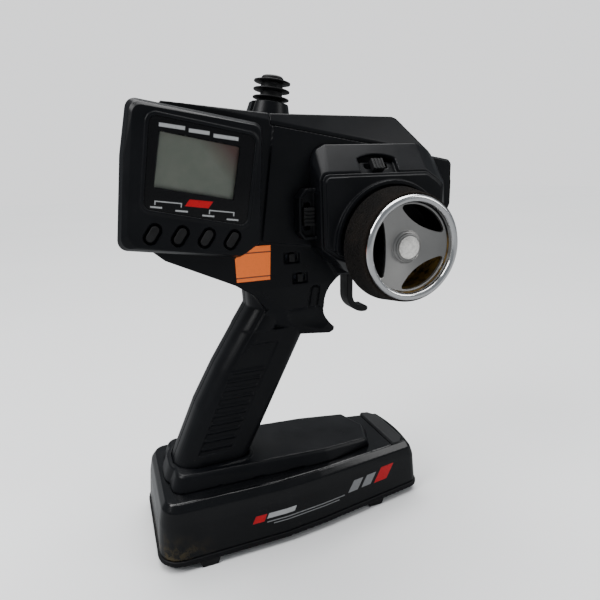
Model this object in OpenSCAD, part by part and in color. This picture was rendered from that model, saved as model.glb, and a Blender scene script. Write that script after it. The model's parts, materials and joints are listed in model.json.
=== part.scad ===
// Pistol-grip radio transmitter for model cars: a flat battery base, a raked grip, a head with a
// display pod and a steering wheel on its right side, and a throttle trigger underneath.
// +X points forward, +Y to the left, +Z up. The sub-parts are drawn round the point on the floor
// under the grip's middle plane, and the assembly is then placed so that the part's own origin is
// on the floor under the middle of its whole box.

/* [Base] */
// Height of the rubber feet
foot_height = 4; // [3:0.5:5]
// Half of the base's greatest width
base_half_width = 40.5; // [40:0.5:42]
// Distance from the origin to the base's rear end
base_rear = 85; // [84:1:88]
// Distance from the origin to the base's front corners
base_front = 87.5; // [86:0.5:90]
// Height of the deck over the origin
deck_height = 37; // [36:0.5:39]
// Fall of the deck towards the front, in degrees
deck_pitch = 1.1; // [0.5:0.1:1.5]
// Wall of the base shell
base_wall = 2.4; // [2:0.1:2.6]

/* [Handset] */
// Half of the case's width, without the raised cheeks
case_half_width = 22.8; // [22.4:0.1:23]
// Wall of the case halves
case_wall = 2.4; // [2.2:0.1:2.6]
// How far the cheeks stand out of the case
cheek_height = 1.2; // [0.8:0.1:1.3]
// Half of the grip's width
grip_half_width = 17; // [16.5:0.1:17.5]
// Number of ribs on each side of the grip
rib_count = 10; // [6:1:10]
// Pitch of the display end of the head, nose down, in degrees
head_pitch = 8; // [7.5:0.1:8.5]

/* [Display] */
// Distance of the pod's face from the middle plane
pod_face = 42; // [41.8:0.1:42.2]
// Spacing of the display buttons
button_pitch = 12.3; // [11.5:0.1:12.5]

/* [Steering wheel] */
// Outer radius of the chrome ring
ring_radius = 27; // [26.5:0.1:27.5]
// Radius of the foam at its front end
foam_front_radius = 28.2; // [28:0.1:29]
// Radius of the foam at its back end
foam_back_radius = 30.6; // [30:0.1:31]
// Number of spokes
spoke_count = 3; // [3:1:3]

/* [Trigger] */
// Width of the trigger blade
trigger_width = 11; // [9:0.5:11.5]

/* [Fits] */
// Gap all round between pieces that stay put
seat_gap = 0.1; // [0.05:0.01:0.15]
// Gap all round between a shaft and its bore
running_gap = 0.05; // [0.03:0.01:0.08]

/* [Hidden] */

$fn = 48;
box_middle = [8.6, -11.85, 0];   // where the middle of the whole box's floor lies while drawing
thin = 0.02;   // thickness of the slabs that a hull is spanned between
far = 300;     // longer than the whole object

shell_black = "#17181b";
satin_black = "#1f2125";
gloss_black = "#0c0d10";
foam_black = "#211d1b";
rubber_black = "#121213";

// ---------------------------------------------------------------- outlines and frames

// Moves a finished sub-part from where it is drawn to its place in the part's own frame
module placed() { translate(-box_middle) children(); }

// Points on an arc round c, from one angle to another
function arc(c, r, from, to, steps = 8) =
    [for (i = [0:steps]) let (a = from + (to - from) * i / steps) c + r * [cos(a), sin(a)]];

// The same points on the other side of the X axis, in the reverse order
function mirrored(points) = [for (i = [len(points) - 1:-1:0]) [points[i][0], -points[i][1]]];

// Raises a shape that is drawn in X and Z, between two places on the Y axis
module side_extrude(y_from, y_to) {
    translate([0, y_to, 0]) rotate([90, 0, 0]) linear_extrude(y_to - y_from) children();
}

// Raises a shape that is drawn in Y and Z, between two places on the X axis
module front_extrude(x_from, x_to) {
    translate([x_from, 0, 0]) rotate([90, 0, 90]) linear_extrude(x_to - x_from) children();
}

// A cylinder along the Y axis through the point (x, z)
module y_cylinder(spot, r, y_from, y_to) {
    side_extrude(y_from, y_to) translate(spot) circle(r);
}

// The flat that the deck lies in
module deck_frame() { translate([0, 0, deck_height]) rotate([0, deck_pitch, 0]) children(); }

// The frame of the display end of the head, which is pitched nose down
module head_frame() { translate([0, 0, 170]) rotate([0, head_pitch, 0]) children(); }

// A flat oval standing up, rounded at both ends
module oval(width, height) {
    for (end = [-1, 1]) translate([0, end * (height - width) / 2]) circle(width / 2);
    square([width, height - width], center = true);
}

// An outline with its corners rounded, drawn inside or outside the given points
module rounded_outline(points, corner, inset = 0) {
    offset(r = corner) offset(delta = -corner - inset) polygon(points);
}

// ---------------------------------------------------------------- base

rear_corner = 14;
front_corner = 8;
bottom_thickness = 3;
bottom_top = foot_height + bottom_thickness;

base_half_outline = concat(
    arc([-base_rear + rear_corner, rear_corner - base_half_width], rear_corner, 180, 270),
    [[-11, -base_half_width], [13, 2.4 - base_half_width]],
    arc([base_front - front_corner, -19.9], front_corner, -80, -12, 6),
    arc([base_front - 100, 0], 102, -10, -2, 3)
);

module base_outline(inset = 0) {
    offset(delta = -inset) polygon(concat(base_half_outline, mirrored(base_half_outline)));
}

module base_slab(z, inset) { translate([0, 0, z]) linear_extrude(thin) base_outline(inset); }

// The base's outer form: steep sides, a rounded shoulder and the sloping deck
module base_form(inset, bottom) {
    hull() {
        base_slab(bottom, 0.9 + inset);
        base_slab(deck_height - 11, 2.6 + inset);
        deck_frame() base_slab(-3.8 - inset, 4.4 + inset);
        deck_frame() base_slab(-thin - inset, 7.2 + inset);
    }
}

door_front = 37;
door_half_width = 31.9;
door_thickness = 2.3;
cell_bay = [-75.5, 32.5, 29.5];   // rear end, front end and half width of the battery opening

base_screw_spots = [[-30, 35.9], [-30, -35.9], [68, 17], [68, -17]];

module door_area(gap) {
    translate([-far / 2, -door_half_width - gap, foot_height - 1])
        cube([far / 2 + door_front + gap, 2 * (door_half_width + gap), door_thickness + 1 + gap]);
}

module base_bottom() {
    color(shell_black) difference() {
        translate([0, 0, foot_height]) linear_extrude(bottom_thickness) base_outline();
        door_area(seat_gap);
        translate([cell_bay[0], -cell_bay[2], 0])
            cube([cell_bay[1] - cell_bay[0], 2 * cell_bay[2], far]);
        for (spot = base_screw_spots) translate(concat(spot, foot_height - 1)) {
            cylinder(h = bottom_thickness + 2, r = 1.7);
            cylinder(h = 2.4, r = 3);
        }
    }
}

module battery_door() {
    color(shell_black) difference() {
        intersection() {
            translate([0, 0, foot_height]) linear_extrude(door_thickness) base_outline();
            door_area(0);
        }
        // Finger ribs at the rear, where the thumb pushes the door back
        for (i = [0:4]) translate([-72 + 3.2 * i, -14, foot_height - 1]) cube([1.4, 28, 1.8]);
    }
}

module base_shell() {
    color(gloss_black) difference() {
        union() {
            difference() {
                base_form(0, bottom_top + thin);
                base_form(base_wall, bottom_top - 1);
            }
            for (spot = base_screw_spots) intersection() {
                translate(concat(spot, bottom_top + thin)) cylinder(h = deck_height, r = 3.4);
                base_form(0.5, bottom_top);
            }
        }
        for (spot = base_screw_spots)
            translate(concat(spot, bottom_top - 1)) cylinder(h = 12, r = 1.55);
        // Opening for the wires that run up the grip
        translate([-49, 0, deck_height - 8]) cylinder(h = 16, r = 6);
    }
}

module base_screws() {
    color("#8a8d92") for (spot = base_screw_spots) translate(concat(spot, foot_height + 0.2)) {
        difference() {
            cylinder(h = 1.15, r = 2.8);
            for (turn = [0, 90]) rotate(turn) translate([-1.6, -0.35, -1]) cube([3.2, 0.7, 1.7]);
        }
        translate([0, 0, 1.1]) cylinder(h = 11, r = 1.5);
    }
}

foot_spots = [[-58, 37.4], [-58, -37.4], [52, 28], [52, -28]];

module rubber_feet() {
    color(rubber_black) for (spot = foot_spots)
        translate([spot[0], spot[1], 0]) side_extrude(-3, 3)
            polygon([[-4.4, 0], [4.4, 0], [5.8, foot_height], [-5.8, foot_height]]);
}

// ---------------------------------------------------------------- batteries

cell_radius = 7.1;
cell_length = 50;
cell_z = 17;
cell_rows = [-72.6, -21.6];   // where each row's rear end lies
cell_columns = [-21.6, -7.2, 7.2, 21.6];
tray_rear = -76.4;
tray_length = 108.8;
tray_half_width = 29.8;

module battery_tray() {
    wall = [1.5, 0.9];   // of the ends and of the sides
    color("#26272a") difference() {
        translate([tray_rear, -tray_half_width, 9.4])
            cube([tray_length, 2 * tray_half_width, 15.8]);
        translate([tray_rear + wall[0], wall[1] - tray_half_width, 9])
            cube([tray_length - 2 * wall[0], 2 * (tray_half_width - wall[1]), 15.4]);
    }
}

module battery_cells() {
    color("#7b8794") for (x = cell_rows, y = cell_columns) translate([x, y, cell_z])
        rotate([0, 90, 0]) {
            cylinder(h = cell_length - 1.2, r = cell_radius);
            translate([0, 0, cell_length - 1.25]) cylinder(h = 1.25, r = 2.6);
        }
}

module battery_contacts() {
    color("#c9ccd0") for (y = cell_columns) {
        translate([tray_rear + 1.6, y - 5, cell_z - 5]) cube([0.5, 10, 10]);
        translate([tray_rear + 2.09, y, cell_z]) rotate([0, 90, 0])
            cylinder(h = 1.66, r1 = 4.5, r2 = 2.5);
        translate([cell_rows[1] + cell_length + 0.1, y - 5, cell_z - 5]) cube([0.5, 10, 10]);
    }
}

// ---------------------------------------------------------------- deck block and pad

block_height = 7.8;   // over the deck, at the origin
block_pitch = 1.5;    // how much more steeply than the deck its top falls

block_half_outline = concat(
    arc([-66, -17.5], 8, 180, 270, 6),
    [[22, -25.4], [54, -17.5], [61, 0]]
);
block_top_half = concat(arc([-64.5, -17], 5.5, 180, 270, 6), [[20, -22], [50.5, -18.3], [56.8, 0]]);

module block_slab(half, inset) {
    linear_extrude(thin) offset(delta = -inset) polygon(concat(half, mirrored(half)));
}

// A low block with a blunt prow, whose top falls a little towards the front
module block_form(inset) {
    deck_frame() hull() {
        translate([0, 0, seat_gap - (inset > 0 ? 2 : 0)]) block_slab(block_half_outline, inset);
        translate([0, 0, block_height - inset - 1.3]) rotate([0, block_pitch, 0])
            block_slab(block_top_half, inset - 0.7);
        translate([0, 0, block_height - inset]) rotate([0, block_pitch, 0])
            block_slab(block_top_half, inset + 0.6);
    }
}

module deck_block() {
    color(satin_black) difference() {
        union() {
            difference() {
                block_form(0);
                block_form(2.4);
            }
            // Collar that the grip's foot stands in
            difference() {
                grip_form(-2.8, deck_height + 1.5, deck_height + 10.4);
                deck_frame() translate([-far / 2, -far / 2, seat_gap - far])
                    cube([far, far, far]);
            }
        }
        grip_form(-seat_gap, deck_height - 5, deck_height + 30);
    }
}

// Textured pad over the deck's front end
module front_pad() {
    color("#2b2d31") deck_frame() intersection() {
        side_extrude(-27, 27)
            polygon([[67.8, seat_gap], [69, 1.7], [78.2, 1.1], [79.8, seat_gap]]);
        linear_extrude(4) rounded_outline(
            [[67, -23], [74, -22.5], [80, -15], [80, 15], [74, 22.5], [67, 23]], 1.5);
    }
}

// ---------------------------------------------------------------- handset form

grip_back = [   // the curved line of the grip's rounded back: x and z
    [-78.2, 28], [-64.8, 58.5], [-54.4, 81], [-42, 103], [-28.2, 124.5], [-20, 137], [-20.6, 149]
];
function grip_rear_x(z) = lookup(z, [for (p = grip_back) [p[1], p[0]]]);
function grip_front_x(z) = -16.8 + (z - 64.1) * 0.515;
rear_r = 13;
front_r = 8;

module grip_disc(x, half_width, r, z, side) {
    translate([x, side * (half_width - rear_r), z]) cylinder(h = thin, r = r, $fn = 40);
}

// The raked grip between two heights, rounder behind than in front
module grip_form(inset, z_from, z_to) {
    hull() for (z = [z_from, z_to], side = [-1, 1]) {
        grip_disc(grip_rear_x(z) + rear_r, grip_half_width, rear_r - inset, z, side);
        translate([grip_front_x(z) - front_r, side * (grip_half_width - 1 - front_r), z])
            cylinder(h = thin, r = front_r - inset, $fn = 40);
    }
}

// The grip's back bends forward under the head and runs into it
module neck_back(inset) {
    for (i = [4, 5]) hull() for (p = [grip_back[i], grip_back[i + 1]], side = [-1, 1])
        grip_disc(p[0] + rear_r, grip_half_width + 0.6, rear_r - inset, p[1], side);
}

head_top = 240;
head_underside = 153.5;
finger_centre = [40.2, 137];   // centre of the round cut-out that the finger goes into
finger_radius = 19;

head_points = [
    [-71.2, 174.8], [-61.5, 245.3], [-7, head_top + 0.6], [67.5, head_top + 0.6], [70.5, 239.4],
    [90, 218.6], [101.5, 216.4], [103.4, 214.6], [104, 190], [93, 168.5], [70, head_underside],
    [45, head_underside], [45, 127], [28.9, 122.6], [28.4, 119.4], [26, 118.2], [10, 118.6],
    [-1.4, 119.8], [-10, 121.5], [-13, 137], [-20, 146.5], [-31, 153.7], [-49.2, 162.2],
    [-65.5, 169.8]
];

module handset_profile(inset) {
    offset(delta = -inset) difference() {
        polygon(head_points);
        intersection() {
            translate(finger_centre) circle(finger_radius, $fn = 96);
            translate([-far / 2, head_underside - far]) square(far);
        }
        translate([42, 110]) square([20, head_underside - 110]);
    }
}

// The neck narrows from the head's width to the finger guard's
module width_envelope(inset) {
    half = [[18.4, 100], [18.4, 119], [20.6, 131], [case_half_width, 150], [case_half_width, far]];
    inner = [for (p = half) [p[0] - inset, p[1]]];
    polygon(concat(inner, [for (i = [len(inner) - 1:-1:0]) [-inner[i][0], inner[i][1]]]));
}

// The line where the sloping top facet meets the side, falling towards the front
crease_start = [-6.7, 234.6];
crease_fall = 9.45;
facet_lean = 28;
function crease_z(x) = crease_start[1] - (x - crease_start[0]) * tan(crease_fall);

module facet_cut(inset) {
    for (side = [0, 1]) mirror([0, side, 0])
        translate([crease_start[0], inset - case_half_width - cheek_height, crease_start[1] - inset])
            rotate([0, crease_fall, 0]) rotate([-facet_lean, 0, 0])
                translate([-60, -30, -4]) cube([200, 30, 60]);
}

module cheeks() {
    outline = [
        [crease_start[0], crease_start[1]], [-15.2, 176.2], [17.8, 171.2], [28, 154.5],
        [70, 154.5], [92.5, 170.2], [103.4, 191], [102.9, 213.6], [101, 215.6], [89.4, 217.8],
        [86, crease_z(86)]
    ];
    reach = case_half_width + cheek_height;
    for (side = [0, 1]) mirror([0, side, 0])
        side_extrude(-reach, -case_half_width + 1) polygon(outline);
}

// The neck's sides slant back to the grip's width under this corner of the head
neck_corner = [-31, case_half_width, 154];
neck_slant = [115.3, 103];   // tilt and turn of the slanting flat's outward direction

module neck_flats(inset) {
    for (side = [0, 1]) mirror([0, side, 0]) translate(neck_corner)
        rotate([0, neck_slant[0], neck_slant[1]]) translate([-60, -60, -inset])
            cube([120, 120, 40]);
}

module head_form(inset) {
    difference() {
        intersection() {
            side_extrude(-case_half_width + inset, case_half_width - inset) handset_profile(inset);
            front_extrude(-100 + inset, 120) width_envelope(inset);
        }
        facet_cut(inset);
        neck_flats(inset);
    }
}

panel_outline = [
    [-57, 54], [-37, 54], [-12.5, 103], [-5.5, 117], [-22, 117], [-31.5, 108], [-34.5, 103]
];
flute_outline = [[-26, 137.5], [-11.5, 137.5], [-31.5, 107], [-36, 107]];   // above the panel
rib_start = 57;
rib_spacing = 4.9;
function panel_left(z) = -57 + (z - 54) * 0.45;
function panel_right(z) = -37 + (z - 54) * 0.49;

// The ribbed field on each side of the grip, sunk into it
module grip_panels() {
    panel_depth = 1.3;
    rib_top = grip_half_width - 0.5;
    for (side = [0, 1]) mirror([0, side, 0]) {
        difference() {
            side_extrude(-far / 2, panel_depth - grip_half_width) polygon(panel_outline);
            for (i = [0:rib_count - 1]) let (z = rib_start + i * rib_spacing)
                side_extrude(-rib_top, 0) translate([panel_left(z) + 1.2, z])
                    square([panel_right(z) - panel_left(z) - 2.4, 1.4]);
        }
        side_extrude(-far / 2, 1.7 - grip_half_width) polygon(flute_outline);
    }
}

dish_radius = 14;
dish_ends = [3.5, 17.5];
dish_middle = [-31.3, 127];   // y and z of the line that the dish is struck from

// A long shallow dish for the middle finger on each side of the finger guard
module guard_dishes() {
    for (side = [0, 1]) mirror([0, side, 0]) translate([0, dish_middle[0], dish_middle[1]]) {
        translate([dish_ends[0], 0, 0]) rotate([0, 90, 0])
            cylinder(h = dish_ends[1] - dish_ends[0], r = dish_radius);
        for (x = dish_ends) translate([x, 0, 0]) sphere(dish_radius);
    }
}

neck_lean = 6.6;
pot_opening = [32, 24.4];

case_screw_spots = [   // x, z and the half width of the case there
    [-60, 187, 22.8], [-50, 231, 22.8], [14, 215, 24], [92, 199, 24], [10, 141, 21.6],
    [-17, 110.5, 15.7], [-24.6, 72, 16.1]
];
screw_sink = 4;

module case_bosses() {
    for (s = case_screw_spots) y_cylinder([s[0], s[1]], 4.4, 1.2 - s[2], s[2] - 1.2);
}

wheel_spot = [52.6, 172.6];
shaft_radius = 3;

switch_recess = [9, 6];
upper_switch_spot = [1.6, 166];
lower_switch_spot = [6.2, 154.4];
power_switch_spot = [-32, 212];
jack_spot = [-28, 188];
trigger_slot = [30, 63, 6.8];   // rear end, front end and half width

// Everything that is cut through the case's outside
module case_openings() {
    grip_panels();
    guard_dishes();
    // The wheel's potentiometer reaches in from the steering unit
    side_extrude(-far / 2, -15) translate(wheel_spot) square(pot_opening, center = true);
    translate([trigger_slot[0], -trigger_slot[2], head_underside - 4])
        cube([trigger_slot[1] - trigger_slot[0], 2 * trigger_slot[2], 8]);
    // Recesses of the two switches in the neck, each with a slot for its knob
    for (spot = [upper_switch_spot, lower_switch_spot]) {
        side_extrude(-far / 2, 1.5 - case_half_width) translate(spot)
            square(switch_recess, center = true);
        side_extrude(-far / 2, 0) translate(spot) square([6.4, 3.4], center = true);
    }
    // Oval groove beside the finger cut-out, sunk evenly into the neck's lean
    translate([14.6, -21.6, 140.4]) rotate([neck_lean, 0, 0]) side_extrude(-far / 2, 1.2)
        rotate(-7) difference() {
            oval(6, 19);
            oval(3.6, 16.6);
        }
    // Power switch and charge jack on the left
    side_extrude(case_half_width - 1, far / 2) translate(power_switch_spot)
        square([20, 9], center = true);
    side_extrude(0, far / 2) translate(power_switch_spot) square([14, 4.6], center = true);
    y_cylinder(jack_spot, 4.2, 10, far / 2);
    // Wires to the display
    y_cylinder([-48, 196], 5, -far / 2, -15);
    case_screw_holes();
}

module case_screw_holes() {
    for (s = case_screw_spots) {
        y_cylinder([s[0], s[1]], 1.55, -11, 1);
        y_cylinder([s[0], s[1]], 1.7, 0, far / 2);
        y_cylinder([s[0], s[1]], 3.3, s[2] - screw_sink, far / 2);
    }
}

module below_deck() {
    deck_frame() translate([-far / 2, -far / 2, seat_gap - far]) cube([far, far, far]);
}

grip_steps = [deck_height - 4, 81, 103, 124.5];

// The outer form of the grip follows the curve of its back in three steps
module grip_outside() {
    for (i = [0:2]) grip_form(0, grip_steps[i], grip_steps[i + 1]);
}

// The hollow, narrower behind the dishes of the finger guard
module handset_hollow() {
    difference() {
        head_form(case_wall);
        for (side = [0, 1]) mirror([0, side, 0])
            translate([-12, -30, 112]) cube([44, 30 - 15.2, 25]);
    }
    grip_form(case_wall + 0.4, deck_height - 8, 128);
    neck_back(case_wall + 0.4);
}

// The whole hollow handset before it is split
module handset_shell() {
    difference() {
        union() {
            difference() {
                union() {
                    head_form(0);
                    difference() {
                        cheeks();
                        facet_cut(0);
                    }
                    grip_outside();
                    neck_back(0);
                }
                handset_hollow();
            }
            case_bosses();
        }
        below_deck();
    }
}

cover_start_x = -8;   // rear end of the top cover

// Everything above the crease, where the top cover is a piece of its own
module cover_zone(gap) {
    side_extrude(-far / 2, far / 2) polygon([
        [cover_start_x + gap, far], [cover_start_x + gap, crease_z(cover_start_x) + gap],
        [120, crease_z(120) + gap], [120, far]
    ]);
}

module half_space(side) {
    translate([-far / 2, side > 0 ? 0 : -far / 2, -10]) cube([far, far / 2, far]);
}

module case_half(side) {
    color(shell_black) difference() {
        intersection() {
            handset_shell();
            half_space(side);
        }
        case_openings();
        cover_zone(-seat_gap / 2);
    }
}

module case_right() { case_half(-1); }
module case_left() {
    case_half(1);
    // Posts that carry the two circuit boards
    color(shell_black) for (spot = board_posts)
        y_cylinder(spot, 2.4, board_y + 1.6 + thin, case_half_width - 1);
}

module top_cover() {
    color(satin_black) difference() {
        intersection() {
            head_form(0);
            cover_zone(seat_gap / 2);
        }
        head_form(case_wall);
        socket_line() cylinder(h = far, r = socket_radius + seat_gap, center = true);
    }
}

module case_screws() {
    color("#3a3b3f") for (s = case_screw_spots) let (seat = s[2] - screw_sink) difference() {
        union() {
            y_cylinder([s[0], s[1]], 2.9, seat + thin, seat + 2);
            y_cylinder([s[0], s[1]], 1.5, -10, seat + 0.1);
        }
        for (turn = [0, 90]) side_extrude(seat + 1, seat + 3) translate([s[0], s[1]]) rotate(turn)
            square([3.4, 0.8], center = true);
    }
}

module side_label() {
    face = -case_half_width;
    color("#f08214") side_extrude(face - 0.3, face - thin)
        polygon([[-24, 174], [-10.5, 174], [-11.5, 155.3], [-30, 155.3], [-30.3, 168]]);
}

// ---------------------------------------------------------------- display pod

pod_points = [   // outline of the widest part
    [-86.8, 63.6], [-88.6, 39], [-88.2, -2.9], [-84, -3.3], [-31, -3.4], [-21.2, 4.6],
    [-25.3, 61.2]
];
face_edges = [   // outline of the flat face
    [-84.2, 60.4], [-84.4, 3.6], [-80.4, -0.8], [-31, -1.6], [-22.8, 5.3], [-27.2, 59.3]
];
lens_points = [[-77.2, 57], [-29.5, 54.4], [-30.4, 13.2], [-77.9, 16.8]];
pod_back_y = -case_half_width - 0.2;

module pod_outline(inset = 0) { rounded_outline(pod_points, 4.5, inset); }

module lens_outline(grow) { offset(r = 3 + grow) offset(delta = -3) polygon(lens_points); }

button_first = [-73.6, 5.8];
button_lean = -27;
button_sink = 2;   // depth of the wide oval round each button

module at_button(i) {
    translate(button_first + [i * button_pitch, 0]) rotate(button_lean) children();
}

module display_pod() {
    inner_face = -pod_face + 2.6;
    color(satin_black) head_frame() difference() {
        union() {
            hull() {
                side_extrude(pod_back_y - thin, pod_back_y) pod_outline(2.4);
                side_extrude(5.5 - pod_face, 9 - pod_face) pod_outline();
                side_extrude(1.6 - pod_face, 1.7 - pod_face) pod_outline(1.5);
                side_extrude(-pod_face, thin - pod_face) rounded_outline(face_edges, 4);
            }
            // Raised rim round the lens
            side_extrude(-pod_face - 0.6, 0.5 - pod_face) lens_outline(1.6);
        }
        side_extrude(inner_face, 0) pod_outline(4.6);
        side_extrude(-pod_face - 2, 1.6 - pod_face) lens_outline(seat_gap);
        side_extrude(-pod_face - 2, 0) offset(delta = -2.2) lens_outline(0);
        for (i = [0:3]) {
            side_extrude(-pod_face - 1, button_sink - pod_face) at_button(i) oval(6.4, 10.6);
            side_extrude(-pod_face - 1, 4 - pod_face) at_button(i) oval(4, 8.2);
        }
    }
}

module pod_back() {
    color(satin_black) head_frame() difference() {
        side_extrude(pod_back_y - 2.4, pod_back_y) pod_outline(4.7);
        y_cylinder([-50, 20], 5, -far / 2, far / 2);
    }
}

module display_lens() {
    color("#050608") head_frame()
        side_extrude(-pod_face + 0.1, 1.5 - pod_face) lens_outline(0);
}

lcd_window = [-73.4, -37, 25.4, 49.8];   // left, right, bottom and top of the visible glass
lcd_tilt = -3.2;

module at_lcd() {
    centre = [(lcd_window[0] + lcd_window[1]) / 2, (lcd_window[2] + lcd_window[3]) / 2];
    translate(centre) rotate(lcd_tilt) children();
}

module lcd_module() {
    size = [lcd_window[1] - lcd_window[0], lcd_window[3] - lcd_window[2]];
    color("#585c52") head_frame() side_extrude(-pod_face + 2.7, 7 - pod_face) at_lcd()
        square(size + [4, 4], center = true);
}

module display_board() {
    board = -pod_face + 8;
    color("#1f5a35") head_frame() {
        side_extrude(board, board + 1.6) pod_outline(6.5);
        for (i = [0:3]) side_extrude(board - 0.6, board + thin) at_button(i)
            square([4, 4], center = true);
        side_extrude(board + 1.6, board + 3.6) translate([-62, 30]) square([16, 16], center = true);
    }
}

module menu_button(i) {
    face = -pod_face - 0.5;
    color(rubber_black) head_frame() {
        side_extrude(face, 6.2 + face) at_button(i) oval(3.7, 7.9);
        side_extrude(3.4 + face, 4.2 + face) at_button(i) oval(5, 9.2);
    }
}

module menu_button_1() { menu_button(0); }
module menu_button_2() { menu_button(1); }
module menu_button_3() { menu_button(2); }
module menu_button_4() { menu_button(3); }

// ---------------------------------------------------------------- antenna mount

socket_u = -11;
socket_radius = 3.4;
collar_top = 77;

module socket_line() { head_frame() translate([socket_u, 0, 0]) children(); }

module antenna_collar() {
    color(satin_black) difference() {
        socket_line() {
            translate([0, 0, 66]) cylinder(h = collar_top - 66, r1 = 12.4, r2 = 9.8);
            // Fin behind the collar, against the aerial's pull
            side_extrude(-3.6, 3.6) polygon([
                [-14, 66], [-12.6, 70], [-11, collar_top - 0.4], [-5, collar_top - 0.4], [-5, 66]
            ]);
        }
        head_form(0);
        socket_line() cylinder(h = far, r = socket_radius + seat_gap);
    }
}

flange_pitch = 4.2;

module antenna_boot() {
    flange = [for (i = [0:2]) let (z = 2.4 + i * flange_pitch)
        each [[6, z - 0.9], [9.9, z - 0.35], [9.9, z + 0.35], [6, z + 0.9]]];
    profile = concat(
        [[socket_radius + seat_gap, 0], [7, 0]], flange, [[6, 13], [5.2, 13.8]],
        [[socket_radius + seat_gap, 13.8]]
    );
    color(rubber_black) socket_line() translate([0, 0, collar_top + thin])
        rotate_extrude() polygon(profile);
}

module antenna_socket() {
    color("#b08d3c") socket_line() difference() {
        union() {
            translate([0, 0, 60]) cylinder(h = 27, r = socket_radius);
            translate([0, 0, 62.4]) cylinder(h = 2.4, r = 6);
        }
        translate([0, 0, 75]) cylinder(h = 13, r = 1.65);
    }
}

// ---------------------------------------------------------------- steering housing

housing_back = -case_half_width - cheek_height - thin;
housing_shoulder = housing_back - 3;
housing_front = -38;

housing_points = [
    [12.6, 171], [12.2, 216], [14.6, 222.3], [19.6, 225], [76, 225.3], [82.7, 222.5],
    [88, 216.9], [96, 204], [97, 188], [89, 166], [72, 155.5], [34, 155.5], [20, 163.5]
];
face_points = [
    [12.8, 171.5], [12, 206.6], [13.6, 210.4], [17, 211], [75.8, 211.3], [83, 206.8],
    [87.4, 203], [87, 182], [84, 171], [70, 158.5], [40, 158.5], [20, 166.3]
];

module housing_form(inset) {
    hull() {
        side_extrude(housing_shoulder, housing_back + inset)
            rounded_outline(housing_points, 3, inset);
        side_extrude(housing_front + inset, housing_front + inset + thin)
            rounded_outline(face_points, 2.5, inset);
    }
}

// Frame of the trim on the housing's sloping top: its Z points out of the slope
ridge_z = 211.3;
trim_slope = atan2(225.3 - ridge_z, housing_shoulder - housing_front);
module trim_frame() {
    rise = 5;   // up the slope from the ridge
    translate([47.2, housing_front + rise * cos(trim_slope), ridge_z + rise * sin(trim_slope)])
        rotate([trim_slope, 0, 0]) children();
}

// The trim's recess: a flat arch, open over the ridge
module arch_outline() {
    intersection() {
        translate([0, -18.9]) circle(24.9);
        translate([0, -1]) square([22.8, 16], center = true);
    }
}

side_trim_box = [2.8, 14, 176.5, 203];   // rear, front, bottom and top
side_trim_face = -32;
side_trim_spot = [8.4, 188.6];

module side_trim_outline(inset = 0) {
    b = side_trim_box;
    offset(delta = -inset)
        polygon([[b[0], b[2] + 4], [b[0], b[3] - 5], [b[0] + 4, b[3]], [b[1], b[3]],
                 [b[1], b[2]], [b[0] + 3, b[2]]]);
}

module wheel_housing() {
    color(satin_black) difference() {
        union() {
            housing_form(0);
            side_extrude(side_trim_face, housing_back) side_trim_outline();
        }
        housing_form(3);
        // Arched recess of the steering trim, with a slot for its stem
        trim_frame() {
            translate([0, 0, -2.9]) linear_extrude(8) arch_outline();
            translate([0, 0, -9]) linear_extrude(12) square([13.4, 3.2], center = true);
        }
        // Tall recess of the throttle trim, with a slot for its stem
        side_extrude(-far / 2, side_trim_face + 2.2) side_trim_outline(1.6);
        side_extrude(-far / 2, housing_back + 1) translate(side_trim_spot)
            square([3, 14], center = true);
        y_cylinder(wheel_spot, bush_radius + running_gap, -far / 2, 0);
    }
}

plate_top = -40.6;
shroud_radius = 33.6;

module housing_plate() {
    color(satin_black) difference() {
        union() {
            side_extrude(-39.4, housing_front - thin) rounded_outline(face_points, 3, 1.2);
            side_extrude(plate_top, -39.3) rounded_outline(face_points, 3, 2.8);
            // Shroud round the back of the wheel
            intersection() {
                y_cylinder(wheel_spot, shroud_radius, -43.4, plate_top + 0.1);
                side_extrude(-44, plate_top + 0.1) rounded_outline(face_points, 3, 2.8);
            }
        }
        y_cylinder(wheel_spot, shroud_radius - 2.2, -far / 2, plate_top);
        y_cylinder(wheel_spot, bush_radius + running_gap, -far / 2, 0);
    }
}

module steering_trim() {
    color(rubber_black) trim_frame() {
        difference() {
            translate([-3.4, -3.6, -2.8]) cube([6.8, 6.4, 3.2]);
            for (i = [-1:1]) translate([i * 1.9 - 0.5, -4, -0.2]) cube([1, 8, 2]);
        }
        translate([-2.4, -1.4, -7.5]) cube([4.8, 2.8, 5]);
    }
}

module throttle_trim() {
    floor_y = side_trim_face + 2.2;
    top_y = side_trim_face - 0.9;
    color(rubber_black) {
        difference() {
            side_extrude(top_y, floor_y - 0.25) translate(side_trim_spot)
                square([6, 9.4], center = true);
            for (i = [0:3]) side_extrude(top_y - 1, top_y + 0.7)
                translate(side_trim_spot + [0, -2.85 + 1.9 * i]) square([8, 0.9], center = true);
        }
        side_extrude(floor_y - 0.3, floor_y + 3) translate(side_trim_spot)
            square([2.2, 4.8], center = true);
    }
}

// ---------------------------------------------------------------- steering mechanism

bush_radius = 5;
bracket_face = housing_back - 2.6;

module shaft_bushes() {
    color("#a4813a") difference() {
        union() {
            y_cylinder(wheel_spot, bush_radius, plate_top - 0.4, housing_front + 4);
            y_cylinder(wheel_spot, bush_radius, bracket_face - 0.6, housing_back);
        }
        y_cylinder(wheel_spot, shaft_radius + running_gap, -far / 2, far / 2);
    }
}

module steering_bracket() {
    color("#8f949b") difference() {
        side_extrude(bracket_face, housing_back - thin) translate(wheel_spot)
            square([40, 24], center = true);
        y_cylinder(wheel_spot, bush_radius + running_gap, -far / 2, far / 2);
        for (x = [-17, 17], z = [-9, 9]) y_cylinder(wheel_spot + [x, z], 1, -far / 2, far / 2);
    }
}

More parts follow.
